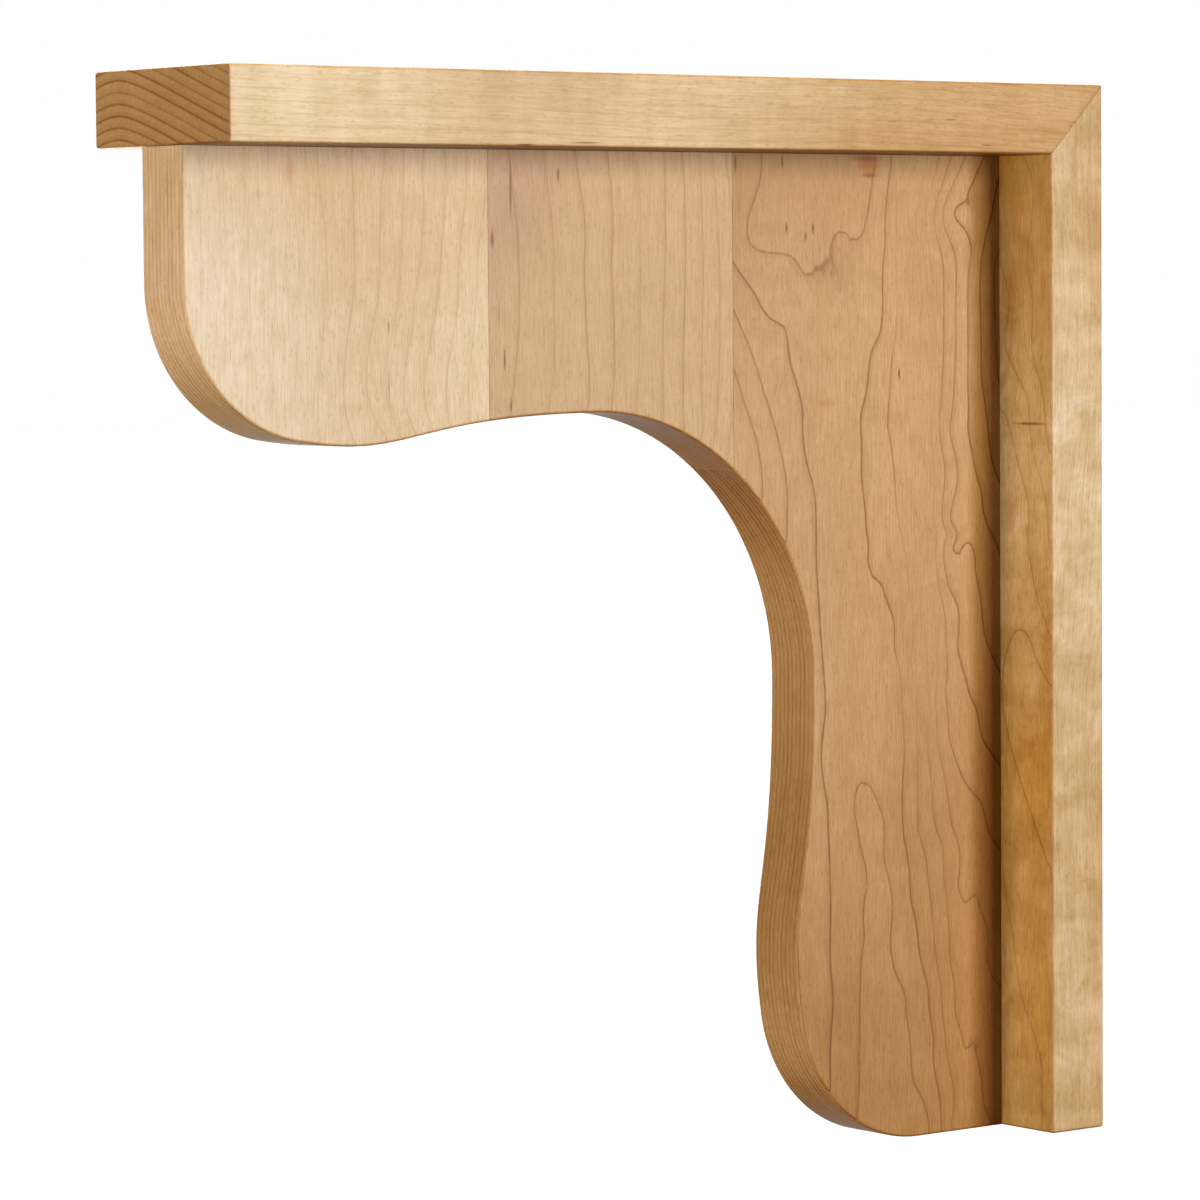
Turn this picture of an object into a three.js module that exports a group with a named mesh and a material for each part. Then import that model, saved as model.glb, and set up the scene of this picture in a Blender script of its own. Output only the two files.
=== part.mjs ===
// A wooden shelf corbel: two boards mitred into an upside-down L, and between them a sawn
// scroll-shaped web, glued up from three upright staves. Millimetres, +Z up. The origin is the
// middle of the face that goes against the wall, and the bracket stands out towards -X.

import * as THREE from 'three';

// Overall sizes
const reach = 304.8;
const height = 304.8;
const boardWidth = 63.5;
const boardThickness = 20.2;
const webThickness = 19;

// The scroll, on the arm and on the leg: a straight stretch, a round nose, a free curve and a
// round cove. The leg was sawn a little rounder at its nose than the arm.
const armNoseFlat = 35.7;
const armNoseRadius = 42.4;
const legNoseFlat = 32.5;
const legNoseRadius = 44.6;
const noseSweep = THREE.MathUtils.degToRad(81);
const neckDepth = 92;
const coveRadius = 77.5;
// How far the free curve keeps its direction at each end, as shares of the way that it goes
const nosePull = 0.38;
const covePull = 0.65;

// The staves: the back one is wide enough for the whole leg and some spare, and the front one
// is what is left of the reach
const backStaveSpare = 23.7;
const middleStaveWidth = 85.3;

// Joints and finish
const glueLine = 0.1;
const easedEdge = 0.8;

// Fineness of the round stretches
const easeSteps = 3;
const curveSteps = 10;

// Places on the bracket are given as the distance out from the wall and down from the top.
const coveCentre = neckDepth + coveRadius;
const legBelly = boardThickness + legNoseFlat + legNoseRadius;
const backJoint = Math.max(neckDepth, legBelly) + backStaveSpare;
const frontJoint = backJoint + middleStaveWidth;

function place(out, down, across) {
  return new THREE.Vector3(-out, across, height / 2 - down);
}

// A closed skin over rings of equally many points, with a flat cap at each end. flatten() gives
// a ring's points as Vector2 for cutting the caps into triangles.
function loft(rings, flatten) {
  const count = rings[0].length;
  const index = [];
  for (let ring = 0; ring + 1 < rings.length; ring++) {
    for (let i = 0; i < count; i++) {
      const a = ring * count + i;
      const b = ring * count + (i + 1) % count;
      index.push(a, b, a + count, b, b + count, a + count);
    }
  }
  const last = (rings.length - 1) * count;
  for (const [a, b, c] of cap(rings[0].map(flatten))) index.push(a, c, b);
  for (const [a, b, c] of cap(rings.at(-1).map(flatten))) {
    index.push(last + a, last + b, last + c);
  }
  const geometry = new THREE.BufferGeometry();
  geometry.setAttribute(
    'position',
    new THREE.Float32BufferAttribute(rings.flat().flatMap((p) => [p.x, p.y, p.z]), 3),
  );
  geometry.setIndex(index);
  geometry.computeVertexNormals();
  return geometry;
}

// The triangles of a flat cap, turning the same way as its outline.
function cap(outline) {
  const faces = THREE.ShapeUtils.triangulateShape(outline, []);
  const first = faces[0].map((i) => outline[i]);
  const sameWay = THREE.ShapeUtils.area(first) * THREE.ShapeUtils.area(outline) > 0;
  return sameWay ? faces : faces.map(([a, b, c]) => [a, c, b]);
}

// A quarter-round edge in steps: how far along the face and how far in each step lies.
function easing() {
  return Array.from({ length: easeSteps + 1 }, (_, step) => {
    const angle = step / easeSteps * Math.PI / 2;
    return { along: easedEdge * (1 - Math.cos(angle)), inset: easedEdge * (1 - Math.sin(angle)) };
  });
}

// A board's section: { across, depth } points round a rectangle with rounded corners, drawn in
// by inset on every side.
function boardSection(inset) {
  const radius = easedEdge - inset / 2;
  const side = boardWidth / 2 - inset - radius;
  const top = inset + radius;
  const bottom = boardThickness - inset - radius;
  const corners = [[side, bottom], [-side, bottom], [-side, top], [side, top]];
  return corners.flatMap(([across, depth], corner) => (
    Array.from({ length: easeSteps + 1 }, (_, step) => {
      const angle = (corner + step / easeSteps) * Math.PI / 2;
      return {
        across: across + radius * Math.cos(angle),
        depth: depth + radius * Math.sin(angle),
      };
    })
  ));
}

// A board of the frame: square with eased edges at its free end, and mitred at the other, where
// it starts as far along as it is deep. put() places (along, depth, across) on the bracket.
function mitredBoard(length, put) {
  const rings = easing().map(({ along, inset }) => (
    boardSection(inset).map(({ across, depth }) => put(length - along, depth, across))
  ));
  const setBack = glueLine / Math.SQRT2;
  rings.push(boardSection(0).map(({ across, depth }) => put(depth + setBack, depth, across)));
  return rings;
}

// Half of the sawn outline, from the board's underside to the middle of the cove, as Vector2
// with x out along the arm and y down from the top. The leg's half is made the same way and
// turned over.
function scrollHalf(extent, noseFlat, noseRadius) {
  const noseTop = boardThickness + noseFlat;
  const path = new THREE.Path();
  path.moveTo(extent, boardThickness + glueLine);
  path.lineTo(extent, noseTop);
  path.absarc(extent - noseRadius, noseTop, noseRadius, 0, noseSweep, false);
  const start = path.currentPoint.clone();
  const span = start.x - coveCentre;
  path.bezierCurveTo(
    start.x - nosePull * span * Math.sin(noseSweep),
    start.y + nosePull * span * Math.cos(noseSweep),
    coveCentre + covePull * span,
    neckDepth,
    coveCentre,
    neckDepth,
  );
  path.absarc(coveCentre, coveCentre, coveRadius, -Math.PI / 2, -Math.PI * 3 / 4, true);
  return path.getPoints(curveSteps);
}

// The whole sawn outline, from the arm's front top corner round to the leg's bottom back corner,
// each point with the way in from the edge.
function sawnOutline() {
  const arm = scrollHalf(reach, armNoseFlat, armNoseRadius);
  const leg = scrollHalf(height, legNoseFlat, legNoseRadius)
    .map((p) => new THREE.Vector2(p.y, p.x))
    .reverse();
  const points = [...arm, ...leg.slice(1)];
  return points.map((point, i) => {
    const before = points[Math.max(i - 1, 0)];
    const after = points[Math.min(i + 1, points.length - 1)];
    const along = after.clone().sub(before).normalize();
    return { point, inward: new THREE.Vector2(-along.y, along.x) };
  });
}

// Where the outline first comes as near to the wall as out: the next point's index, and the
// crossing itself. Its way in runs up the joint, so that neighbouring staves stay level.
function crossing(outline, out) {
  const next = outline.findIndex(({ point }) => point.x <= out);
  const { point: a } = outline[next - 1];
  const { point: b, inward } = outline[next];
  const point = a.clone().lerp(b, (a.x - out) / (a.x - b.x));
  return { next, end: { point, inward: new THREE.Vector2(0, 1 / inward.y) } };
}

// A stave of the web: its sawn edge, closed over its glued edges, as rings across the thickness
// with the sawn edge's two arrises eased.
function staveRings(edge, glued) {
  const still = new THREE.Vector2(0, 0);
  const loop = [...edge, ...glued.map((point) => ({ point, inward: still }))];
  const ring = (across, inset) => loop.map(({ point, inward }) => (
    place(point.x + inward.x * inset, point.y + inward.y * inset, across)
  ));
  const far = easing().map(({ along, inset }) => ring(webThickness / 2 - along, inset));
  const near = easing().reverse().map(({ along, inset }) => ring(along - webThickness / 2, inset));
  return [...far, ...near];
}

function piece(name, rings, flatten, color) {
  const material = new THREE.MeshStandardMaterial({ color, roughness: 0.45, metalness: 0 });
  const mesh = new THREE.Mesh(loft(rings, flatten), material);
  mesh.name = name;
  return mesh;
}

function frameBoards() {
  const top = mitredBoard(reach, (along, depth, across) => place(along, depth, -across));
  const back = mitredBoard(height, (along, depth, across) => place(depth, along, across));
  return [
    piece('top_board', top, (p) => new THREE.Vector2(p.y, p.z), 0xe6c999),
    piece('back_board', back, (p) => new THREE.Vector2(p.x, p.y), 0xd8b078),
  ];
}

function webStaves() {
  const outline = sawnOutline();
  const seat = boardThickness + glueLine;
  const half = glueLine / 2;
  const frontEnd = crossing(outline, frontJoint + half);
  const middleStart = crossing(outline, frontJoint - half);
  const middleEnd = crossing(outline, backJoint + half);
  const backStart = crossing(outline, backJoint - half);
  const corner = (out) => new THREE.Vector2(out, seat);
  const flatten = (p) => new THREE.Vector2(p.x, p.z);
  const front = staveRings(
    [...outline.slice(0, frontEnd.next), frontEnd.end],
    [corner(frontJoint + half)],
  );
  const middle = staveRings(
    [middleStart.end, ...outline.slice(middleStart.next, middleEnd.next), middleEnd.end],
    [corner(backJoint + half), corner(frontJoint - half)],
  );
  const back = staveRings(
    [backStart.end, ...outline.slice(backStart.next)],
    [corner(seat), corner(backJoint - half)],
  );
  return [
    piece('web_front_stave', front, flatten, 0xe4c594),
    piece('web_middle_stave', middle, flatten, 0xd9b381),
    piece('web_back_stave', back, flatten, 0xd0a26b),
  ];
}

const bracket = new THREE.Group();
bracket.add(...frameBoards(), ...webStaves());

export default bracket;
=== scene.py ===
# %% [markdown]
# # A wooden shelf corbel
# The real object is a bracket of clear-lacquered maple: two flat boards mitred into an
# upside-down L, and between them a thinner web, sawn to a scroll and glued up from three upright
# staves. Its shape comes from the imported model. What Blender adds is the wood itself: growth
# lines that run through each piece, fibre, flecks, end grain, and a satin lacquer.

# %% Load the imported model
import math

import bpy
import numpy as np
from mathutils import Matrix, Vector


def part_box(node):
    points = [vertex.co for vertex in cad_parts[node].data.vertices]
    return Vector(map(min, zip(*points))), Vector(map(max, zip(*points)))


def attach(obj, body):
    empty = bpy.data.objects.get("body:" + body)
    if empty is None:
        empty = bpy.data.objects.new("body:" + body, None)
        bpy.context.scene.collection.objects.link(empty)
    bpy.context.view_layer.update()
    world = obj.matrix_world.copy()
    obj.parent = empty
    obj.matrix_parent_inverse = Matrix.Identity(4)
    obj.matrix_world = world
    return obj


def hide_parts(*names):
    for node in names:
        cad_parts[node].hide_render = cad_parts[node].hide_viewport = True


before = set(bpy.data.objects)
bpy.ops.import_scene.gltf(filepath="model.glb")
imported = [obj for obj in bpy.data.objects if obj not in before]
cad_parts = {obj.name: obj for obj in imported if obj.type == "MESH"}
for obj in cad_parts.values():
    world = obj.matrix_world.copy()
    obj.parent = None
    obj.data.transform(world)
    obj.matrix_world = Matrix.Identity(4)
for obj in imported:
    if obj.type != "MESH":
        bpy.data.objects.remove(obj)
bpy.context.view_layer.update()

print("nodes:", sorted(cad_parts))

# %% [markdown]
# ## Sizes
# Everything is in millimetres until it goes into a mesh. A place is given as a maker would
# measure it: `out` from the wall, `down` from the top, and `across` from the middle, with the
# side that faces the camera negative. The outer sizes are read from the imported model, and the
# scroll's sizes are repeated from the part's source.

# %% Read the outer sizes


def corners(node):
    """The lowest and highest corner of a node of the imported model, in millimetres."""
    return [np.array(corner) * 1000 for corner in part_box(node)]


# A gap stands for each glue line. The back joint is drawn one such gap nearer the wall than the
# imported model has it, which is too little to see.
glue_line = 0.1
lowest, highest = corners("top_board")
reach = -lowest[0]
board_width = highest[1] - lowest[1]
board_thickness = highest[2] - lowest[2]
top_height = highest[2]
height = top_height - corners("back_board")[0][2]
web_thickness = corners("web_middle_stave")[1][1] * 2
back_joint = -corners("web_back_stave")[0][0] - glue_line / 2
front_joint = -corners("web_middle_stave")[0][0] + glue_line / 2
seat = top_height - corners("web_front_stave")[1][2]
print(f"reach {reach:.1f}, height {height:.1f}, width {board_width:.1f} mm")
print(f"boards {board_thickness:.1f}, web {web_thickness:.1f} mm thick")
print(f"glue joints {front_joint:.1f} and {back_joint:.1f} mm out")

# %% Sizes of the scroll and of the edges
eased_edge = 0.8
arm_nose_flat = 35.7
arm_nose_radius = 42.4
leg_nose_flat = 32.5
leg_nose_radius = 44.6
nose_sweep = math.radians(81)
neck_depth = 92.0
cove_radius = 77.5
nose_pull = 0.38
cove_pull = 0.65
print(f"noses of {arm_nose_radius} and {leg_nose_radius} mm radius, cove of {cove_radius} mm")

# %% [markdown]
# ## Camera
# The photograph was taken from the front left, level with the upper part of the bracket, with a
# long lens. A camera was fitted to thirteen straight edges of the photograph, and its place and
# three turns are written here as numbers. Building its axes from the turns keeps the roll of
# 0.4 degrees, which aiming the camera at a point would lose.

# %% Make the camera
camera_place = Vector((-1.050105, -1.142034, 0.093007))
yaw, pitch, roll = (math.radians(turn) for turn in (37.8864, -3.3600, -0.4184))
ahead = Vector((math.sin(yaw) * math.cos(pitch),
                math.cos(yaw) * math.cos(pitch),
                math.sin(pitch)))
level = Vector((math.cos(yaw), -math.sin(yaw), 0))
upright = level.cross(ahead)
right = level * math.cos(roll) + upright * math.sin(roll)
up = upright * math.cos(roll) - level * math.sin(roll)
camera = bpy.data.objects.new("camera", bpy.data.cameras.new("camera"))
camera_axes = Matrix((right, up, -ahead)).transposed().to_4x4()
camera.matrix_world = Matrix.Translation(camera_place) @ camera_axes
camera.data.sensor_width = 36
camera.data.lens = 156.51
camera.data.clip_end = 200
bpy.context.scene.collection.objects.link(camera)
bpy.context.scene.camera = camera
print("lens", camera.data.lens, "mm")

# %% [markdown]
# ## Colours and nodes
# Colours are typed as the sRGB hex values that a picture shows, and turned to the linear values
# that Blender works with. One small helper adds a node with its settings and links.

# %% Helpers for colours and nodes


def linear(shown):
    """An sRGB hex colour as linear RGBA: each channel c becomes ((c + 0.055) / 1.055) ** 2.4."""
    channels = np.array([int(shown[i:i + 2], 16) for i in (1, 3, 5)]) / 255
    curved = np.where(channels <= 0.04045, channels / 12.92, ((channels + 0.055) / 1.055) ** 2.4)
    return (*curved.tolist(), 1.0)


def add(tree, kind, feeds=None, result=None, **settings):
    """Adds a node with its settings, feeds its inputs with values or links, and gives an output."""
    node = tree.nodes.new("ShaderNode" + kind)
    for setting, value in settings.items():
        setattr(node, setting, value)
    for name, value in (feeds or {}).items():
        by_name = [socket for socket in node.inputs if socket.enabled and socket.name == name]
        socket = by_name[0] if by_name else node.inputs[name]
        if isinstance(value, bpy.types.NodeSocket):
            tree.links.new(value, socket)
        else:
            socket.default_value = value
    shown = [socket for socket in node.outputs if socket.enabled]
    return next(socket for socket in shown if result in (None, socket.name))


print("a pale maple is", [round(channel, 3) for channel in linear("#F1D4A6")[:3]])

# %% [markdown]
# ## Light and floor
# The photograph's own shadows tell where its light stood. On the web, the back board's shadow
# fades out over 8 to 40 mm, and the top board's over a few millimetres. So the key light is a
# soft box 1.3 m away, on the wall's side of the camera, about level with the top board. A tall
# narrow box straight out in front of the bracket, standing low, lights the sawn edges and the end
# grain, and hardly touches the side. A weaker box beyond the bracket lights only what the
# photograph doesn't show, so that the far side isn't lost in the dark. The studio is white
# behind the bracket and dim elsewhere. A lamp straight above lights the floor, which lies so far
# below that the bracket's shadow stays out of the picture.

# %% Hang the three soft boxes
middle = Vector((-reach / 2000, 0, 0))


def soft_box(name, place, width, tall, watts):
    """An area light at a place, turned to the middle of the bracket."""
    box = bpy.data.objects.new(name, bpy.data.lights.new(name, "AREA"))
    box.data.shape = "RECTANGLE"
    box.data.size, box.data.size_y = width, tall
    box.data.energy = watts
    box.location = place
    box.rotation_euler = (Vector(place) - middle).to_track_quat("Z", "Y").to_euler()
    bpy.context.scene.collection.objects.link(box)
    print(name, f"{(Vector(place) - middle).length:.2f} m away")


soft_box("key_light", (0.40, -1.21, 0.17), 0.54, 0.8, 19.5)
soft_box("left_light", (-1.55, -0.04, -0.40), 0.35, 1.5, 21.6)
soft_box("far_light", (0.45, 1.20, 0.25), 0.6, 0.8, 12.0)

# %% Hang the lamp above
above = bpy.data.objects.new("lamp_above", bpy.data.lights.new("lamp_above", "SUN"))
above.data.energy = 3.3
above.data.angle = math.radians(12)
bpy.context.scene.collection.objects.link(above)
print("lamp above:", round(above.data.energy, 1), "W per square metre")

# %% Light the studio from behind
world = bpy.data.worlds.new("white_studio")
world.use_nodes = True
bpy.context.scene.world = world
studio = world.node_tree
dim, bright = 0.02, 0.95
# The brightest part lies level behind the bracket, seen from where the photograph was taken.
way = add(studio, "TexCoord", result="Generated")
behind = add(studio, "VectorMath", {0: way, 1: (0.61, 0.79, 0.0)}, operation="DOT_PRODUCT")
glow = add(studio, "MapRange", {"Value": behind, "From Min": 0.55, "From Max": 0.97,
                                "To Min": dim, "To Max": bright},
           interpolation_type="SMOOTHSTEP")
seen = add(studio, "LightPath", result="Is Camera Ray")
strength = add(studio, "Math", {0: glow, 1: seen}, operation="MAXIMUM")
background = studio.nodes["Background"]
background.inputs["Color"].default_value = (1, 1, 1, 1)
studio.links.new(strength, background.inputs["Strength"])
bpy.context.scene.view_settings.view_transform = "Standard"
print("studio glow:", bright, "behind the bracket,", dim, "elsewhere")

# %% Lay the floor
floor_depth = 1.0
floor_level = -height / 2000 - floor_depth
half = 40.0
floor_corners = [(x, y, floor_level) for x, y in ((-half, -half), (half, -half),
                                                  (half, half), (-half, half))]
floor_mesh = bpy.data.meshes.new("floor")
floor_mesh.from_pydata(floor_corners, [], [(0, 1, 2, 3)])
floor = bpy.data.objects.new("floor", floor_mesh)
floor.visible_diffuse = False
floor.visible_glossy = False
pale_floor = bpy.data.materials.new("pale_floor")
pale_floor.use_nodes = True
floor_shader = pale_floor.node_tree.nodes["Principled BSDF"]
floor_shader.inputs["Base Color"].default_value = linear("#FBFBFA")
floor_shader.inputs["Roughness"].default_value = 0.9
floor_mesh.materials.append(pale_floor)
bpy.context.scene.collection.objects.link(floor)
print(f"floor: {floor_depth} m below the bracket")

# %% [markdown]
# ## How the wood has grown
# Growth rings are surfaces inside the wood, and a cut shows them as lines. So each piece gets a
# number at every point, its place among the rings, and a line shows wherever that number is
# whole. For the faces where the lines make a clear picture, a few points along each line are
# written down, and a thin plate bent through them gives the number everywhere between.

# %% Bend a plate through written points


def plate(lines, calm=3.0):
    """A smooth number over a flat face, nearly the written number along each written line.

    The plate's height at q is a + b.q + the sum over the points p of w * d**2 * log(d), with d
    the distance from p to q. The weights w, a and b solve for the lines' own numbers, and calm
    lets the plate miss them a little, so that it bends less.
    """
    points = np.array([point for _, line in lines for point in line], float)
    wanted = np.array([number for number, line in lines for _ in line], float)

    def pull(places):
        distance = np.linalg.norm(places[:, None] - points[None], axis=2)
        return distance ** 2 * np.log(np.maximum(distance, 1e-9))

    count = len(points)
    flat = np.column_stack([np.ones(count), points])
    system = np.zeros((count + 3, count + 3))
    system[:count, :count] = pull(points) + calm * np.eye(count)
    system[:count, count:] = flat
    system[count:, :count] = flat.T
    weights = np.linalg.solve(system, np.concatenate([wanted, np.zeros(3)]))

    def number(a, b):
        places = np.column_stack([a.ravel(), b.ravel()])
        sloped = weights[count] + places @ weights[count + 1:]
        return (pull(places) @ weights[:count] + sloped).reshape(a.shape)

    print(f"a plate bent through {count} points")
    return number


# %% Growth lines on the back stave, as (out, down)
back_stave_growth = plate([
    (1, [(110.3, 21), (110.6, 27), (112, 31), (113.7, 35), (115.5, 40), (115.4, 44), (113.6, 46.6),
         (107, 48.2), (100, 49), (98, 50.5), (96, 53.2), (93.6, 54.6), (91, 53.2), (86.4, 51.5),
         (85, 48), (83.6, 44), (82.3, 42.3), (79, 42.8), (74.2, 44.2), (72.8, 43), (70.5, 35),
         (69, 27), (68, 21)]),
    (1, [(76.3, 297), (75.7, 281), (75.2, 266), (74.6, 251), (73.3, 243), (72.7, 233), (73.4, 222),
         (75.5, 214), (76.8, 209), (76.5, 203), (75, 200.6), (72.5, 200.6), (69.6, 203.3), (67.8, 207),
         (65.6, 216), (63.8, 229), (63.3, 244), (62.3, 254), (60.5, 258.3), (58.5, 261.5), (57.4, 269),
         (55.6, 284), (54.3, 289.5), (51.4, 294), (48.8, 303)]),
    (1.6, [(92, 30), (104, 36), (80, 30)]),
    (1.35, [(70, 214), (68, 236), (67, 262), (64, 285), (70, 290)]),
    (0.55, [(82, 100), (80, 130), (76, 160), (73, 185)]),
    (0.75, [(74, 194)]),
    (0, [(121, 50.5), (114, 58.5), (110.2, 64), (107.5, 66.6), (102.5, 69), (101, 72.5), (100.4, 78),
         (98, 84.5), (95.6, 93), (95.1, 104), (93.4, 110), (91.4, 116), (90.7, 130), (90, 147),
         (88.6, 163), (87.6, 177), (89.3, 192), (87, 206), (86.3, 222), (86.2, 243), (85.2, 262),
         (86.5, 288)]),
    (0, [(62, 22), (64.3, 45), (65.4, 65), (66.4, 71), (69.4, 76), (71.5, 87), (73.9, 96), (73.7, 112),
         (72, 127), (71.4, 136), (70, 140.5), (66.4, 143.6), (64.5, 148), (61.5, 155), (61.2, 163),
         (59.4, 168.5), (58.1, 185), (57.7, 192), (58.7, 207), (57.4, 220), (55.6, 235), (53.4, 243),
         (51.5, 254), (49.2, 261), (47, 276), (44.5, 295), (44, 303)]),
    (-1, [(121, 64), (114, 77), (110, 87), (106, 97), (102, 111)]),
    (-2, [(121, 80), (117, 90), (112.5, 101), (110.5, 114)]),
    (-1, [(60, 40), (60.5, 70), (62.8, 88), (63.7, 98), (61.2, 113), (57, 135), (54, 160), (53, 190),
          (52.5, 216), (48, 235), (44, 262), (42, 280), (40, 303)]),
    (-2, [(56, 50), (55, 100), (50.5, 147), (49, 180), (47, 207), (43.4, 220), (41.6, 235), (40.3, 255),
          (38.4, 270), (35.2, 280), (33, 280.8), (31.5, 279), (30.2, 283), (28, 292), (25, 303)]),
    (-3, [(51.5, 50), (50, 110), (45, 170), (42.5, 200), (39.5, 215), (37.2, 233), (35.3, 237.6),
          (33.2, 237.6), (31, 235.6), (28.6, 239), (25.6, 248), (22.5, 262)]),
    (-4, [(47, 50), (46, 120), (42, 175), (40.5, 189), (36, 200), (28, 209), (25, 218)]),
    (-5, [(43, 30), (42, 60), (42.7, 85), (41.7, 112), (41, 130), (40.2, 145.5), (37.4, 150),
          (36.6, 157), (37, 163), (34, 172), (29.5, 182), (25.5, 193)]),
    (-6, [(39.8, 100), (39.6, 126), (38.8, 133.6), (35.5, 134.4), (32.4, 132.5), (30, 137.5),
          (28.4, 147), (25.5, 162)]),
    (-7, [(38, 36.6), (35, 34), (32.6, 31), (31.4, 34), (31.2, 48), (32.6, 78), (32.4, 94),
          (31.2, 106), (27.5, 118), (24.6, 129)]),
    (-8, [(27.4, 50), (27.4, 84), (25.4, 96), (23, 110)]),
], calm=0.3)

# %% Growth lines on the front and middle staves, as (out, down)
front_stave_growth = plate([
    (0, [(299, 25), (299, 60)]),
    (1, [(292, 25), (292, 80)]),
    (2, [(285, 25), (285, 85)]),
    (3, [(278, 25), (277, 88)]),
    (4, [(271, 25), (271, 93)]),
    (5, [(262, 22), (262, 97)]),
    (6, [(251, 22), (251, 98)]),
    (7, [(240, 22), (240, 98)]),
    (8, [(234, 22), (236, 60), (237, 95)]),
    (9, [(228, 25), (231, 60), (234, 90)]),
    (10, [(220, 30), (223, 60), (227, 91)]),
    (11, [(213, 22), (218, 70), (220, 92)]),
    (12, [(207, 30), (210, 50), (213, 80)]),
])
middle_stave_growth = plate([
    (0, [(199, 22), (199, 92)]),
    (1, [(187, 22), (186, 90)]),
    (2, [(176, 24), (173, 42), (172, 88)]),
    (3, [(165, 22), (164, 50), (164, 88)]),
    (4, [(156, 22), (156, 92)]),
    (5, [(145, 22), (145, 50), (146, 92)]),
    (6, [(139, 22), (139, 92)]),
    (7, [(132, 22), (132, 98)]),
    (8, [(128, 22), (128, 100)]),
    (9, [(123, 22), (123, 104)]),
])

# %% Growth lines on the back board's front face, as (across, down)
back_board_growth = plate([
    (0, [(-10, 178), (-12, 166), (-15, 160), (-18, 158), (-22, 160), (-26, 168), (-31, 174)]),
    (-1, [(-10, 94), (-14, 100), (-18, 111), (-22, 122), (-23, 140), (-26, 150), (-31, 160)]),
    (-2, [(-10, 40), (-14, 62), (-12, 76), (-21, 90), (-25, 110), (-30, 130)]),
    (-3, [(-21, 22), (-21, 50), (-24, 80), (-29, 100)]),
    (-1, [(-12, 238), (-15, 250), (-17, 262), (-23, 275), (-27, 286)]),
    (-3, [(10, 40), (14, 120), (12, 200), (16, 290)]),
    (-5, [(24, 40), (26, 120), (24, 200), (28, 290)]),
])

# %% How warm the tone of each piece is, from 0 for its palest place to 1, as (out, down); on the web this also holds painted sheen and painted shadow
# On the front stave the palest place, near the nose, is partly pale wood and partly painted sheen of
# the lacquer.
front_stave_tone_and_sheen = plate([(0.8, [(280, 30), (255, 84)]), (0.0, [(288, 60)]),
                            (0.55, [(266, 72)]), (1.0, [(250, 35)]), (1.0, [(222, 50)]),
                            (0.6, [(222, 95)]), (0.4, [(209, 70)])], calm=0)
middle_stave_warmth = plate([(1.0, [(200, 30), (192, 38)]), (0.1, [(191, 62), (180, 90)]),
                             (0.3, [(180, 40)]), (0.0, [(160, 50), (140, 80), (125, 30)])], calm=0)
# On the back stave the warmer tone 34 to 40 mm out, low on the face, is painted shadow: the back
# board's shadow runs wider there.
back_stave_tone_and_shadow = plate([(0.5, [(114, 28), (100, 25)]), (0.05, [(98, 68), (98, 142), (95, 171)]),
                           (0.1, [(60, 60), (40, 60)]), (0.35, [(60, 171)]), (0.5, [(40, 171)]),
                           (0.5, [(95, 230)]), (0.75, [(50, 235)]), (1.0, [(90, 275), (60, 290)]),
                           (0.95, [(34, 215)]), (0.9, [(30, 290)])], calm=0)
back_face_warmth = plate([(0.93, [(-20, 30)]), (0.6, [(-20, 95)]), (0.68, [(-20, 150)]),
                          (0.94, [(-20, 200)]), (0.84, [(-20, 285)]), (0.7, [(20, 150)])], calm=0)

# %% [markdown]
# ## Meshes with the wood in them
# Each piece is a grid of points, rows of closed loops, with a flat face at each end. The grid is
# a millimetre or two fine, because every point carries numbers for the material: `rings`, the
# place among the rings, `gap`, the millimetres from one line to the next on that surface,
# `wood`, the point's radial, tangential and lengthwise place in millimetres, `arris`, which is 1
# on the eased edges, `warmth_and_painted_light`, the share of the warmer of the piece's two
# tones, which on the web also holds painted sheen, painted shadow and painted light from below,
# and `clear`, how clearly the growth lines show. All of them change slowly, so the shader can
# draw fine lines from them.

# %% Put a grid into a mesh


def line_gap(points, rings):
    """The distance between growth lines along the surface: 1 / the slope of rings on the grid.

    The slope follows from how rings and the places change along the rows and the loops, with the
    grid's own lengths and slant taken out.
    """
    round_points = np.concatenate([points[:, -1:], points, points[:, :1]], axis=1)
    round_rings = np.concatenate([rings[:, -1:], rings, rings[:, :1]], axis=1)
    step_row, step_loop = (step[:, 1:-1] for step in np.gradient(round_points, axis=(0, 1)))
    rise_row, rise_loop = (rise[:, 1:-1] for rise in np.gradient(round_rings))
    row, loop = (step_row ** 2).sum(2), (step_loop ** 2).sum(2)
    slant = (step_row * step_loop).sum(2)
    area = np.maximum(row * loop - slant ** 2, 1e-12)
    slope = (loop * rise_row ** 2 - 2 * slant * rise_row * rise_loop + row * rise_loop ** 2) / area
    return np.clip(1 / np.sqrt(np.maximum(slope, 1e-6)), 0.5, 40)


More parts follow.
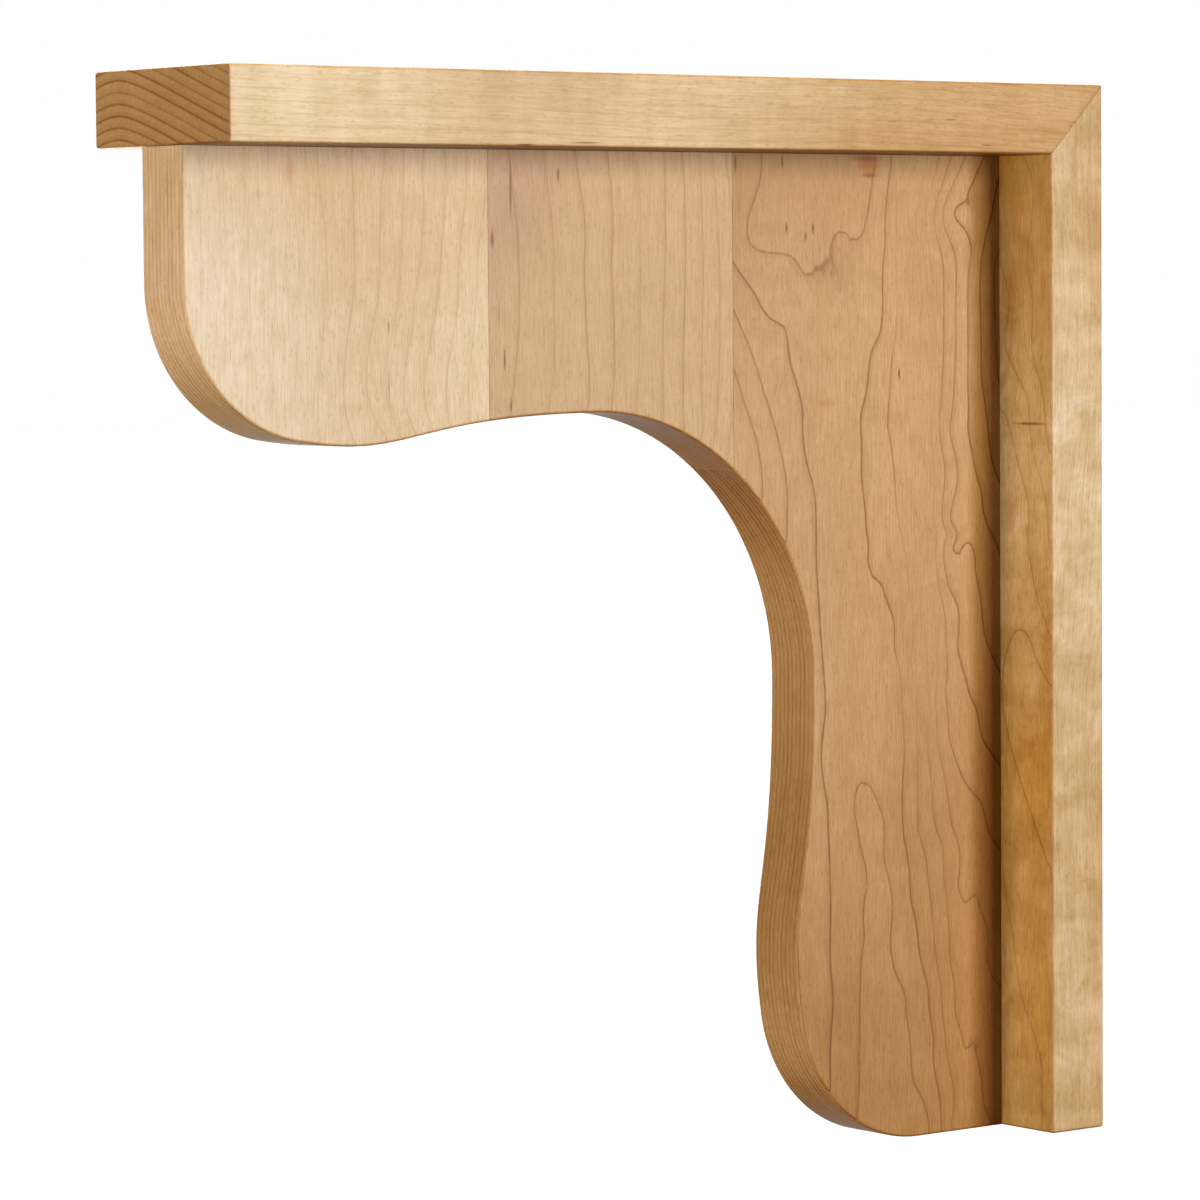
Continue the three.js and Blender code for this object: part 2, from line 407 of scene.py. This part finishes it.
def grid_piece(name, out, down, across, rings, wood, arris, warmth_and_painted_light, clear):
    """A closed piece over a grid of places, with the wood's numbers on its points."""
    points = np.stack([-out, across, top_height - down], axis=2)
    rows, loops = out.shape
    here = np.arange(rows * loops).reshape(rows, loops)
    after = np.roll(here, -1, axis=1)
    quads = np.stack([here[:-1], after[:-1], after[1:], here[1:]], axis=2).reshape(-1, 4)
    flat = points.reshape(-1, 3)
    a, b, c, d = (flat[quads[:, i]] for i in range(4))
    turn = (np.cross(a, b) * c).sum() + (np.cross(a, c) * d).sum()
    ends = [here[0][::-1], here[-1]]
    if turn < 0:
        quads = quads[:, ::-1]
        ends = [end[::-1] for end in ends]
    mesh = bpy.data.meshes.new(name)
    mesh.from_pydata((flat / 1000).tolist(), [], quads.tolist() + [end.tolist() for end in ends])
    carried = {"rings": rings, "gap": line_gap(points, rings), "arris": arris,
               "warmth_and_painted_light": np.clip(warmth_and_painted_light, 0, 1),
               "clear": np.broadcast_to(clear, rings.shape)}
    for label, values in carried.items():
        layer = mesh.attributes.new(label, "FLOAT", "POINT")
        layer.data.foreach_set("value", np.ascontiguousarray(values, np.float32).ravel())
    layer = mesh.attributes.new("wood", "FLOAT_VECTOR", "POINT")
    layer.data.foreach_set("vector", np.stack(wood, axis=2).astype(np.float32).ravel())
    mesh.shade_smooth()
    mesh.set_sharp_from_angle(angle=math.radians(35))
    piece = bpy.data.objects.new(name, mesh)
    bpy.context.scene.collection.objects.link(piece)
    print(f"{name}: {rows} x {loops} points, volume {abs(turn) / 6000:.1f} cm3")
    return piece


# %% Steps over a flat stretch and round an eased edge


def flat_steps(count):
    """Even steps from 0 to 1, with one more very close to each end that holds the face flat."""
    return np.concatenate([[0, 0.003], np.linspace(0, 1, count + 1)[1:-1], [0.997, 1]])


ease_turn = np.radians([0, 22.5, 45, 67.5, 90])
ease_sunk = eased_edge * (1 - np.cos(ease_turn))
ease_inset = eased_edge * (1 - np.sin(ease_turn))
ease_worn = np.sin(2 * ease_turn)
# A point less than this far from a face, in millimetres, counts as on it.
skin = 0.3
print("an eased edge turns in", len(ease_turn) - 1, "steps")

# %% [markdown]
# ## The two boards
# A board is its own cross-section, a rectangle with eased corners, carried from the mitre to the
# free end, where the section draws in over the eased edge and then in steps to the middle, so
# that the end grain has points to carry its rings.

# %% Carry a section along a board


def board_section(inset):
    """Points (across, depth, arris) round a rectangle with rounded corners, drawn in by inset.

    Each side is a straight line in many steps, and each corner a quarter circle at its end.
    """
    radius = max(eased_edge - inset / 2, 0.02)
    wide = board_width / 2 - inset - radius
    low, high = inset + radius, board_thickness - inset - radius
    sides = [((wide, high), (-wide, high), 32), ((-wide, high), (-wide, low), 10),
             ((-wide, low), (wide, low), 32), ((wide, low), (wide, high), 10)]
    parts = []
    for side, (start, end, count) in enumerate(sides):
        facing = (side + 1) * np.pi / 2
        away = radius * np.array([np.cos(facing), np.sin(facing)])
        share = flat_steps(count)[:, None]
        straight = np.array(start) * (1 - share) + np.array(end) * share + away
        round_turn = facing + ease_turn[1:-1]
        corner = np.array(end) + radius * np.column_stack([np.cos(round_turn), np.sin(round_turn)])
        worn = np.concatenate([np.zeros(len(straight)), ease_worn[1:-1]])
        parts.append(np.column_stack([np.concatenate([straight, corner]), worn]))
    return np.concatenate(parts)


def board_grid(length):
    """Arrays (along, depth, across, arris) of a board that starts at the mitre's slope."""
    section = board_section(0)
    share = flat_steps(170)[:, None]
    start = section[:, 1] + glue_line / math.sqrt(2)
    along = start + share * (length - eased_edge - start)
    shaft = [np.broadcast_to(values, along.shape) for values in (section[:, 1], section[:, 0])]
    # How far in from its edge each further ring of the end face lies; the last is a sliver
    inner = np.array([0.85, 2.3, 3.8, 5.3, 6.8, 8.3, 9.3, 9.8, 10.05])
    insets = np.concatenate([ease_sunk[1:], inner])
    sunk = np.concatenate([ease_inset[1:], np.zeros(len(inner))])
    worn_rows = np.concatenate([np.zeros(len(along)), ease_worn[1:], np.zeros(len(inner))])
    end = [board_section(inset) for inset in insets]
    depth = np.concatenate([shaft[0], [ring[:, 1] for ring in end]])
    across = np.concatenate([shaft[1], [ring[:, 0] for ring in end]])
    along = np.concatenate([along, np.repeat((length - sunk)[:, None], len(section), axis=1)])
    before_end = np.arange(len(depth)) < len(shaft[0]) + len(ease_turn) - 1
    worn_loop = np.where(before_end[:, None], section[:, 2], 0)
    return along, depth, across, np.maximum(worn_rows[:, None], worn_loop)


# %% The top board
along, depth, across, arris = board_grid(reach)
# Its rings are flat arches with their top 21 mm to the far side, as its end grain shows, and
# they sink gently towards the wall.
top_ring_gap = 3.1
arch_top, arch_bluntness, arch_slope = 21, 2.5, 0.32
arch_side = arch_slope * (across - arch_top)
arch = np.sqrt(arch_bluntness ** 2 + arch_side ** 2) - arch_bluntness
wander = 0.9 * np.sin(along / 61 + 0.6) + 0.5 * np.sin(along / 23 + across / 17)
radial = depth - arch + 0.022 * along + wander
warmth_and_painted_light = np.interp(along, [15, 95, 165, 225, 285], [1.0, 0.86, 0.38, 0.66, 0.0])
# The upper half of its mitred edge is tinted amber-brown, 2 mm wide.
arris = np.maximum(arris, 0.6 * np.exp(-((along - depth) / 1.6) ** 2) * (depth < 12))
clear = np.where(along > reach - skin, 1.5, 0.75)
top_board = grid_piece("top_board_wood", along, depth, across, radial / top_ring_gap,
                       (radial, across, along), arris, warmth_and_painted_light, clear)

# %% The back board
along, depth, across, arris = board_grid(height)
# The written lines are those of its front face, and deeper in, the rings lie this far apart.
board_ring_gap = 2.7
rings = back_board_growth(across, along) + (board_thickness - depth) / board_ring_gap
# The near and far sides are cut from paler wood than the front face.
on_side = np.abs(across) > board_width / 2 - skin
side_warmth = np.interp(along, [40, 100, 171, 230, 285], [0.5, 0.0, 0.31, 0.57, 0.33])
warmth_and_painted_light = np.where(on_side, side_warmth, back_face_warmth(across, along))
back_board = grid_piece("back_board_wood", depth, along, across, rings,
                        (rings * board_ring_gap, across, along), arris, warmth_and_painted_light,
                        np.where(on_side, 0.35, 1))

# %% [markdown]
# ## The three staves
# The web's sawn edge is one line: straight nose, round nose, free curve and cove on the arm, and
# the same again on the leg. A stave is ruled between its stretch of that line and a straight
# glued side, like the strings of a harp, on both faces, with the sawn edge between them.

# %% Draw the sawn outline


def scroll_half(extent, nose_flat, nose_radius):
    """Points from the board's underside to the middle of the cove, as (along, deep).

    A straight line, an arc of nose_sweep, a cubic curve between the two directions, and an arc
    of 45 degrees that ends on the diagonal.
    """
    cove_centre = neck_depth + cove_radius
    nose_top = board_thickness + nose_flat
    straight = np.array([[extent, seat], [extent, nose_top]])
    turn = np.linspace(0, nose_sweep, 60)[:, None]
    centre = np.array([extent - nose_radius, nose_top])
    nose = centre + nose_radius * np.hstack([np.cos(turn), np.sin(turn)])
    start, end = nose[-1], np.array([cove_centre, neck_depth])
    span = start[0] - cove_centre
    leave = start + nose_pull * span * np.array([-math.sin(nose_sweep), math.cos(nose_sweep)])
    arrive = end + np.array([cove_pull * span, 0])
    t = np.linspace(0, 1, 80)[:, None]
    free = ((1 - t) ** 3 * start + 3 * (1 - t) ** 2 * t * leave
            + 3 * (1 - t) * t ** 2 * arrive + t ** 3 * end)
    turn = np.radians(np.linspace(-90, -135, 60))[:, None]
    cove = cove_centre + cove_radius * np.hstack([np.cos(turn), np.sin(turn)])
    return np.concatenate([straight, nose[1:], free[1:], cove[1:]])


arm = scroll_half(reach, arm_nose_flat, arm_nose_radius)
leg = scroll_half(height, leg_nose_flat, leg_nose_radius)[::-1, ::-1]
outline = np.concatenate([arm, leg[1:]])
walked = np.concatenate([[0], np.cumsum(np.linalg.norm(np.diff(outline, axis=0), axis=1))])
print(f"sawn outline: {walked[-1]:.0f} mm long")

# %% Rule a stave
# The grid's step along the sawn edge, in millimetres
sawn_step = 1.3


def walked_to(out):
    """How far along the outline it first comes as near to the wall as out."""
    after = max(int(np.argmax(outline[:, 0] <= out + 0.001)), 1)
    (a, _), (b, _) = outline[after - 1], outline[after]
    share = 0 if a == b else (a - out) / (a - b)
    return walked[after - 1] + share * (walked[after] - walked[after - 1])


def sawn_stretch(first_out, last_out):
    """Even steps along the outline between two distances out, and the way in from each."""
    bounds = walked_to(first_out), walked_to(last_out)
    places = np.linspace(*bounds, int((bounds[1] - bounds[0]) / sawn_step))
    ahead, behind = (np.column_stack([np.interp(places + by, walked, axis) for axis in outline.T])
                     for by in (0.3, -0.3))
    tangent = (ahead - behind) / np.linalg.norm(ahead - behind, axis=1)[:, None]
    edge = np.column_stack([np.interp(places, walked, axis) for axis in outline.T])
    return edge, np.column_stack([-tangent[:, 1], tangent[:, 0]])


def stave_grid(edge, inward, glued_start, glued_end, count):
    """Arrays (out, down, across, arris) ruled from a straight glued side to the edge.

    The row at a share s of the edge's length starts at the same share s of the glued side.
    """
    length = np.concatenate([[0], np.cumsum(np.linalg.norm(np.diff(edge, axis=0), axis=1))])
    share = (length / length[-1])[:, None]
    glued = np.array(glued_start) * (1 - share) + np.array(glued_end) * share
    half = web_thickness / 2
    face = flat_steps(count)[:, None, None]
    ruled = glued * (1 - face) + (edge + inward * eased_edge) * face
    eased = edge + inward * ease_inset[1:-1, None, None]
    side = flat_steps(12)
    sawn = np.broadcast_to(edge, (len(side), *edge.shape))
    places = np.concatenate([ruled, eased, sawn, eased[::-1], ruled[::-1]])
    flat_side = np.full(len(ruled), -half)
    curved = ease_sunk[1:-1] - half
    across = np.concatenate([flat_side, curved, (2 * side - 1) * (half - eased_edge),
                             -curved[::-1], -flat_side])
    worn = np.concatenate([np.zeros(len(ruled)), ease_worn[1:-1], np.zeros(len(side)),
                           ease_worn[1:-1], np.zeros(len(ruled))])
    is_sawn = np.linalg.norm(inward, axis=1) > 0
    out, down = places[..., 0].T, places[..., 1].T
    across = np.broadcast_to(across, out.shape)
    return out, down, across, worn * is_sawn[:, None]


def level_ends(edge, inward, which):
    """At a joint the eased edge runs along the joint, so that neighbouring staves stay level."""
    for row in which:
        inward[row] = (0, 1 / inward[row, 1])
    return edge, inward


def between_faces(across):
    """Where a stave's points lie on its sawn edge, and not on its two faces."""
    return np.abs(across) < web_thickness / 2 - skin


# %% The front stave
# On the sawn edge the rings of all three staves lie this far apart, in millimetres.
ring_gap = 1.8
glued_side = front_joint + glue_line / 2
edge, inward = sawn_stretch(reach, glued_side)
edge, inward = level_ends(edge, inward, [-1])
out, down, across, arris = stave_grid(edge, inward, (glued_side, seat),
                                      edge[-1] + inward[-1] * eased_edge, 60)
rings = front_stave_growth(out, down) + (across + web_thickness / 2) / ring_gap
is_sawn = between_faces(across)
warmth_and_painted_light = np.where(is_sawn, 0.75, front_stave_tone_and_sheen(out, down))
# Towards the nose the lines of the face grow faint.
clear = np.where(is_sawn, 3, np.interp(out, [215, 245, 280], [1.15, 0.9, 0.35]))
front_stave = grid_piece("web_front_stave_wood", out, down, across, rings,
                         (rings * ring_gap, out, down), arris, warmth_and_painted_light, clear)

# %% The middle stave
edge, inward = sawn_stretch(front_joint - glue_line / 2, back_joint + glue_line / 2)
edge, inward = level_ends(edge, inward, [0, -1])
out, down, across, arris = stave_grid(edge, inward, (edge[0, 0], seat), (edge[-1, 0], seat), 48)
rings = middle_stave_growth(out, down) + (across + web_thickness / 2) / ring_gap
is_sawn = between_faces(across)
middle_stave = grid_piece("web_middle_stave_wood", out, down, across, rings,
                          (rings * ring_gap, out, down), arris, middle_stave_warmth(out, down),
                          np.where(is_sawn, 2.5, 1))

# %% The back stave
glued_side = back_joint - glue_line / 2
edge, inward = sawn_stretch(glued_side, board_thickness + glue_line)
edge, inward = level_ends(edge, inward, [0])
# Its ruled lines first follow the glued joint down, in this many rows, and then the sawn edge.
joint_rows = 69
joint_down = np.linspace(seat, edge[0, 1], joint_rows + 1)[:-1]
joint = np.column_stack([np.full(joint_rows, glued_side), joint_down])
edge = np.concatenate([joint, edge])
inward = np.concatenate([np.zeros((joint_rows, 2)), inward])
out, down, across, arris = stave_grid(edge, inward, (board_thickness + glue_line, seat),
                                      edge[-1] + inward[-1] * eased_edge, 60)
rings = back_stave_growth(out, down) + (across + web_thickness / 2) / ring_gap
is_sawn = between_faces(across)
# Right of the bold arches, the upper part is grown fine and even, and its lines are faint.
fine = (np.clip((out - 43) / 4, 0, 1) * np.clip((62 - out) / 2, 0, 1)
        * np.clip((205 - down) / 25, 0, 1))
clear = np.where(is_sawn, 1.2, 1 - 0.75 * fine)
# Along the leg the sawn edge's tone changes. It is palest at the bottom, on the leg's nose, as painted
# light from below.
sawn_tone_and_light = np.interp(down, [165, 215, 250, 280], [0.17, 0.5, 0.4, 0.0])
warmth_and_painted_light = np.where(is_sawn, sawn_tone_and_light, back_stave_tone_and_shadow(out, down))
back_stave = grid_piece("web_back_stave_wood", out, down, across, rings,
                        (rings * ring_gap, out, down), arris, warmth_and_painted_light, clear)

# %% [markdown]
# ## Maple
# Hard maple is a pale, close-grained wood: thin brown lines where a year's growth ends, very
# fine fibre, tiny dark flecks, and where the fibre waves, soft bands of light and shade across
# the grain. End grain drinks more of the finish and goes browner. One function builds it for
# every piece, from that piece's own colours.

# %% Build a maple material


def maple(name, pale, warm, line, end, arris_tint, grain, soaked="#FFFFFF",
          figure=0.0, bold=1.0, smudge=0.05, marks=()):
    """A satin-lacquered maple.

    pale and warm are the two colours that drift into each other, line multiplies them on a
    growth line, end on end grain, arris_tint on eased edges, and soaked on every face that isn't
    turned across the bracket: sawn edges soak up more finish. grain is the way of the fibre,
    figure how strong the bands across it are, bold how dark the lines are, and smudge how dark
    the soft smudges are. marks are flecks, stains and patches of painted shade: (middle, half
    sizes, tint), in millimetres in the part's own axes.
    """
    material = bpy.data.materials.new(name)
    material.use_nodes = True
    tree = material.node_tree
    shader = tree.nodes["Principled BSDF"]
    rings, gap, worn, warmth_and_painted_light, clear = (
        add(tree, "Attribute", result="Fac", attribute_name=label)
        for label in ("rings", "gap", "arris", "warmth_and_painted_light", "clear"))
    wood = add(tree, "Attribute", result="Vector", attribute_name="wood")
    place = add(tree, "TexCoord", result="Object")
    facing = add(tree, "TexCoord", result="Normal")

    # How much the surface cuts across the fibre: 0 along it, 1 on end grain
    cut = add(tree, "VectorMath", {0: facing, 1: grain}, result="Value", operation="DOT_PRODUCT")
    cut = add(tree, "Math", {0: cut}, operation="ABSOLUTE")
    cut = add(tree, "MapRange", {"Value": cut, "From Min": 0.15, "From Max": 0.95},
              interpolation_type="SMOOTHSTEP")

    # The first three numbers are waves per millimetre, radially, tangentially and lengthwise:
    # fibre 0.5 by 9 mm, pores 0.7 by 2 mm, drifts of colour 25 by 90 mm, curl 33 by 7 mm,
    # clouds 8 to 14 mm, and the waver of a growth line 1.7 by 5 mm
    patterns = {
        "fibre": ((2.0, 2.0, 0.11), {"Detail": 3, "Roughness": 0.6}),
        "pores": ((1.4, 1.4, 0.5), {"Detail": 2}),
        "drift": ((0.04, 0.04, 0.011), {"Detail": 2}),
        "curl": ((0.03, 0.03, 0.14), {"Detail": 1.5, "Distortion": 0.6}),
        "cloud": ((0.07, 0.12, 0.08), {"Detail": 4, "Roughness": 0.6, "Distortion": 0.8}),
        "waver": ((0.6, 0.6, 0.2), {"Detail": 4, "Roughness": 0.6}),
    }
    noise = {}
    for pattern, (scale, character) in patterns.items():
        stretched = add(tree, "VectorMath", {0: wood, 1: scale}, operation="MULTIPLY")
        noise[pattern] = add(tree, "TexNoise", {"Vector": stretched, "Scale": 1, **character},
                             result="Fac")

    # The lines waver a little, most where they lie far apart
    waver = add(tree, "Math", {0: noise["waver"], 1: 0.5}, operation="SUBTRACT")
    rings = add(tree, "Math", {0: waver, 1: 0.05, 2: rings}, operation="MULTIPLY_ADD")

    # How many millimetres a point lies to the side of the nearest line, and that line's year
    rings = add(tree, "Math", {0: rings, 1: 0.5}, operation="ADD")
    year = add(tree, "Math", {0: rings}, operation="FLOOR")
    from_line = add(tree, "Math", {0: rings, 1: year}, operation="SUBTRACT")
    from_line = add(tree, "Math", {0: from_line, 1: 0.5}, operation="SUBTRACT")
    aside = add(tree, "Math", {0: from_line, 1: gap}, operation="MULTIPLY")
    distance = add(tree, "Math", {0: aside}, operation="ABSOLUTE")

    # A line is a dark core 0.2 to 1 mm wide, with the late wood's soft halo before it
    core = add(tree, "MapRange", {"Value": distance, "From Min": 0.1, "From Max": 0.52,
                                  "To Min": 1, "To Max": 0}, interpolation_type="SMOOTHSTEP")
    halo = add(tree, "MapRange", {"Value": aside, "From Min": -2.6, "From Max": 0,
                                  "To Min": 0, "To Max": 1}, interpolation_type="SMOOTHERSTEP")
    before = add(tree, "Math", {0: aside, 1: 0.15}, operation="LESS_THAN")
    halo = add(tree, "Math", {0: halo, 1: before}, operation="MULTIPLY")

    # Its depth changes from year to year, and with how far apart the lines lie, with the pores,
    # with the piece and from place to place
    luck = add(tree, "TexWhiteNoise", {"W": year}, result="Value", noise_dimensions="1D")
    depth = add(tree, "MapRange", {"Value": luck, "To Min": 0.45, "To Max": 1.0})
    far_apart = add(tree, "MapRange", {"Value": gap, "From Min": 1.5, "From Max": 8,
                                       "To Min": 0.3, "To Max": 1})
    far_apart = add(tree, "Math", {0: far_apart, 1: cut}, operation="MAXIMUM")
    fade = add(tree, "MapRange", {"Value": noise["pores"], "From Min": 0.3, "From Max": 0.6,
                                  "To Min": 0.6, "To Max": 1})
    for share in (far_apart, fade, bold, clear):
        depth = add(tree, "Math", {0: depth, 1: share}, operation="MULTIPLY")
    core = add(tree, "Math", {0: core, 1: depth}, operation="MULTIPLY")
    halo = add(tree, "Math", {0: halo, 1: depth}, operation="MULTIPLY")
    halo = add(tree, "Math", {0: halo, 1: 0.28}, operation="MULTIPLY")

    # Colour: the drift between the two tones, then end grain and the faces that soak
    drift = add(tree, "MapRange", {"Value": noise["drift"], "From Min": 0.35, "From Max": 0.65,
                                   "To Min": -0.12, "To Max": 0.12})
    drift = add(tree, "Math", {0: drift, 1: warmth_and_painted_light}, operation="ADD", use_clamp=True)
    colour = add(tree, "Mix", {"Factor": drift, "A": linear(pale), "B": linear(warm)},
                 data_type="RGBA")
    turned = add(tree, "VectorMath", {0: facing, 1: (0, 1, 0)}, result="Value",
                 operation="DOT_PRODUCT")
    turned = add(tree, "Math", {0: turned}, operation="ABSOLUTE")
    for share, tint_at_0, tint_at_1 in ((cut, "#FFFFFF", end), (turned, soaked, "#FFFFFF")):
        tint = add(tree, "Mix", {"Factor": share, "A": linear(tint_at_0), "B": linear(tint_at_1)},
                   data_type="RGBA")
        colour = add(tree, "Mix", {"Factor": 1.0, "A": colour, "B": tint}, data_type="RGBA",
                     blend_type="MULTIPLY")

    # Light and dark: the fibre, then dark pores, curly bands and soft smudges
    bright = add(tree, "MapRange", {"Value": noise["fibre"], "From Min": 0.3, "From Max": 0.7,
                                    "To Min": 0.82, "To Max": 1.15})
    speck = add(tree, "MapRange", {"Value": noise["pores"], "From Min": 0.3, "From Max": 0.45,
                                   "To Min": 0.83, "To Max": 1})
    band = add(tree, "MapRange", {"Value": noise["curl"], "From Min": 0.35, "From Max": 0.65,
                                  "To Min": 1 - figure, "To Max": 1 + figure})
    cloud = add(tree, "MapRange", {"Value": noise["cloud"], "From Min": 0.35, "From Max": 0.65,
                                   "To Min": 1 + smudge / 2, "To Max": 1 - smudge})
    for share in (speck, band, cloud):
        bright = add(tree, "Math", {0: bright, 1: share}, operation="MULTIPLY")
    # Darker fibre is browner too: red fades least and blue most
    red, green, blue = (add(tree, "Math", {0: bright, 1: power}, operation="POWER")
                        for power in (0.75, 1.0, 1.9))
    shade = add(tree, "CombineXYZ", {"X": red, "Y": green, "Z": blue})
    colour = add(tree, "VectorMath", {0: colour, 1: shade}, operation="MULTIPLY")

    # On top of that the growth lines, the worn edges and the marks
    worn = add(tree, "Math", {0: worn, 1: 0.8}, operation="MULTIPLY")
    for share, tint in ((halo, line), (core, line), (worn, arris_tint)):
        colour = add(tree, "Mix", {"Factor": share, "A": colour, "B": linear(tint)},
                     data_type="RGBA", blend_type="MULTIPLY")
    for centre, size, tint in marks:
        near = add(tree, "Mapping", {"Vector": place, "Location": [c / 1000 for c in centre],
                                     "Scale": [s / 1000 for s in size]}, vector_type="TEXTURE")
        near = add(tree, "VectorMath", {0: near}, result="Value", operation="LENGTH")
        near = add(tree, "MapRange", {"Value": near, "From Min": 0.2, "From Max": 1.1,
                                      "To Min": 1, "To Max": 0}, interpolation_type="SMOOTHSTEP")
        colour = add(tree, "Mix", {"Factor": near, "A": colour, "B": linear(tint)},
                     data_type="RGBA", blend_type="MULTIPLY")
    tree.links.new(colour, shader.inputs["Base Color"])

    # Satin lacquer over sanded wood gives the eye a broad, faint sheen. The fibre shows through
    # it very slightly. Its reflection is kept weak, because a white veil would turn the brown
    # lines grey.
    rough = add(tree, "MapRange", {"Value": noise["fibre"], "From Min": 0.3, "From Max": 0.7,
                                   "To Min": 0.46, "To Max": 0.58})
    tree.links.new(rough, shader.inputs["Roughness"])
    raised = add(tree, "Bump", {"Height": noise["fibre"], "Distance": 0.00006, "Strength": 0.5})
    tree.links.new(raised, shader.inputs["Normal"])
    shader.inputs["Specular IOR Level"].default_value = 0.25
    shader.inputs["Coat Weight"].default_value = 0.15
    shader.inputs["Coat Roughness"].default_value = 0.33
    shader.inputs["Coat IOR"].default_value = 1.5
    print(f"{name}: {len(tree.nodes)} nodes")
    return material


# %% [markdown]
# ## The five pieces of wood
# The pieces came from different boards, and the photograph shows it: the top board and the front
# stave are the palest, the middle stave is pinkish where it meets the front one, and the back
# stave is the warmest, with bold arches.

# %% Marks on the near face of the web, and on the two boards
web_face = -web_thickness / 2
board_face = -board_width / 2


def fleck(out, down, half_width, half_length, across=web_face, tint="#BC9824"):
    """A dark fleck in the wood, as a middle and half sizes along the part's axes."""
    return ((-out, across, top_height - down), (half_width, 2.0, half_length), tint)


def board_mark(across, down, half_across, half_down, tint):
    """A mark on the back board's front face, as a middle and half sizes along the part's axes."""
    return ((-board_thickness, across, top_height - down), (2.0, half_across, half_down), tint)


middle_flecks = [fleck(198.6, 31, 0.54, 10.5), fleck(182.3, 27, 0.62, 2.6),
                 fleck(204.9, 44.5, 0.78, 3.4), fleck(201, 77, 0.54, 4.2),
                 fleck(199, 89.5, 0.47, 2.5), fleck(202.8, 65, 0.3, 5.0, tint="#CDB8A8")]
front_flecks = [fleck(239.6, 68, 0.4, 2.6, tint="#CDB8A8"),
                fleck(239.6, 84, 0.4, 6.5, tint="#D3C0B0"),
                fleck(271, 27, 2.0, 5.0, tint="#F3DFC4")]
back_marks_and_shade = [fleck(102.7, 22.6, 0.62, 2.6), fleck(101.2, 41.2, 0.62, 2.0),
               fleck(119.8, 23, 0.62, 3.2), fleck(94.2, 43.6, 0.62, 2.0),
               fleck(91.4, 41.4, 0.62, 2.4), fleck(59.2, 83, 0.6, 2.4, tint="#A8862A"),
               # A knot's stain right under the top board
               fleck(71.5, 21.4, 6.8, 1.2, tint="#D8AC38"),
               fleck(70, 26.2, 4.2, 0.9, tint="#DDB548"),
               fleck(70.5, 23.4, 5.0, 4.0, tint="#F2D078"),
               fleck(86.5, 91, 4.0, 2.0, tint="#F4E6CF"),
               # Painted shade: along the corner by the back board the web's face is tinted darker and
               # warmer, for the shadow there.
               ((-27.5, web_face, 0), (5.5, 3, 600), "#EFDFA6")]
top_marks_and_shade = [fleck(190, 18.9, 6.8, 0.4, across=board_face),
              fleck(210.5, 19.7, 4.2, 0.4, across=board_face),
              fleck(59, 10.9, 3.2, 0.25, across=board_face),
              fleck(45, 17.9, 3.0, 0.25, across=board_face),
              fleck(90, 15.5, 1.6, 2.4, across=board_face, tint="#FFF6E4"),
              # Painted shade: the top board's underside over the web is tinted dark brown, as if in
              # shadow.
              ((-180, -20, top_height - board_thickness), (500, 26, 0.6), "#7E5A34")]
board_flecks = [board_mark(-22.5, 98, 9.5, 0.6, "#C39A5E"), board_mark(-14, 62, 7, 13, "#EEDDBE")]
marks = [middle_flecks, front_flecks, back_marks_and_shade, top_marks_and_shade, board_flecks]
print(sum(len(group) for group in marks), "marks")

# %% Make and give out the materials
lengthwise, upright_grain = (1, 0, 0), (0, 0, 1)
woods = {
    # The palest board, with fine straight lines along its sides and brown end grain
    "top_board": (top_board, "maple_board_pale",
                  ("#F1D4A6", "#C09256", "#D6C299", "#BDA17F", "#DEC8A6", lengthwise),
                  {"figure": 0.05, "bold": 0.9, "marks": top_marks_and_shade}),
    # Curly wood: pale sides, and a front face mottled with amber
    "back_board": (back_board, "maple_board_curly",
                   ("#DABE97", "#B78437", "#D4BF93", "#C69C74", "#E6C8A0", upright_grain),
                   {"soaked": "#FFFBE8", "figure": 0.05, "bold": 1.05, "smudge": 0.2,
                    "marks": board_flecks}),
    # Creamy sapwood, whose lines hardly show
    "web_front_stave": (front_stave, "maple_stave_pale",
                        # Its end tint is kept pale and grey: a painted reflection of the white floor
                        # under the arm's nose.
                        ("#F0D7B1", "#DAB586", "#D8C49B", "#D8CDB4", "#E6C8A0", upright_grain),
                        {"soaked": "#F5EEEA", "figure": 0.015, "bold": 0.54, "smudge": 0.07,
                         "marks": front_flecks}),
    # Straight-grained, and pinkish where it meets the front stave
    "web_middle_stave": (middle_stave, "maple_stave_straight",
                         ("#CDA472", "#C2966B", "#D7C297", "#D2B898", "#E6C8A0", upright_grain),
                         {"figure": 0.015, "bold": 0.75, "marks": middle_flecks}),
    # The warmest, cut flat so that its growth lines make bold arches
    "web_back_stave": (back_stave, "maple_stave_flat_sawn",
                       # Its end tint is kept pale on the underside of the leg's nose: painted light
                       # from below.
                       ("#C49761", "#AC783A", "#CAAF61", "#E0D0BC", "#F6EAD6", upright_grain),
                       {"soaked": "#FAF5EE", "figure": 0.02, "bold": 1.5, "smudge": 0.08,
                        "marks": back_marks_and_shade}),
}
for node, (piece, slot, tones, options) in woods.items():
    piece.data.materials.append(maple(slot, *tones, **options))
    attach(piece, "root")
    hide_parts(node)
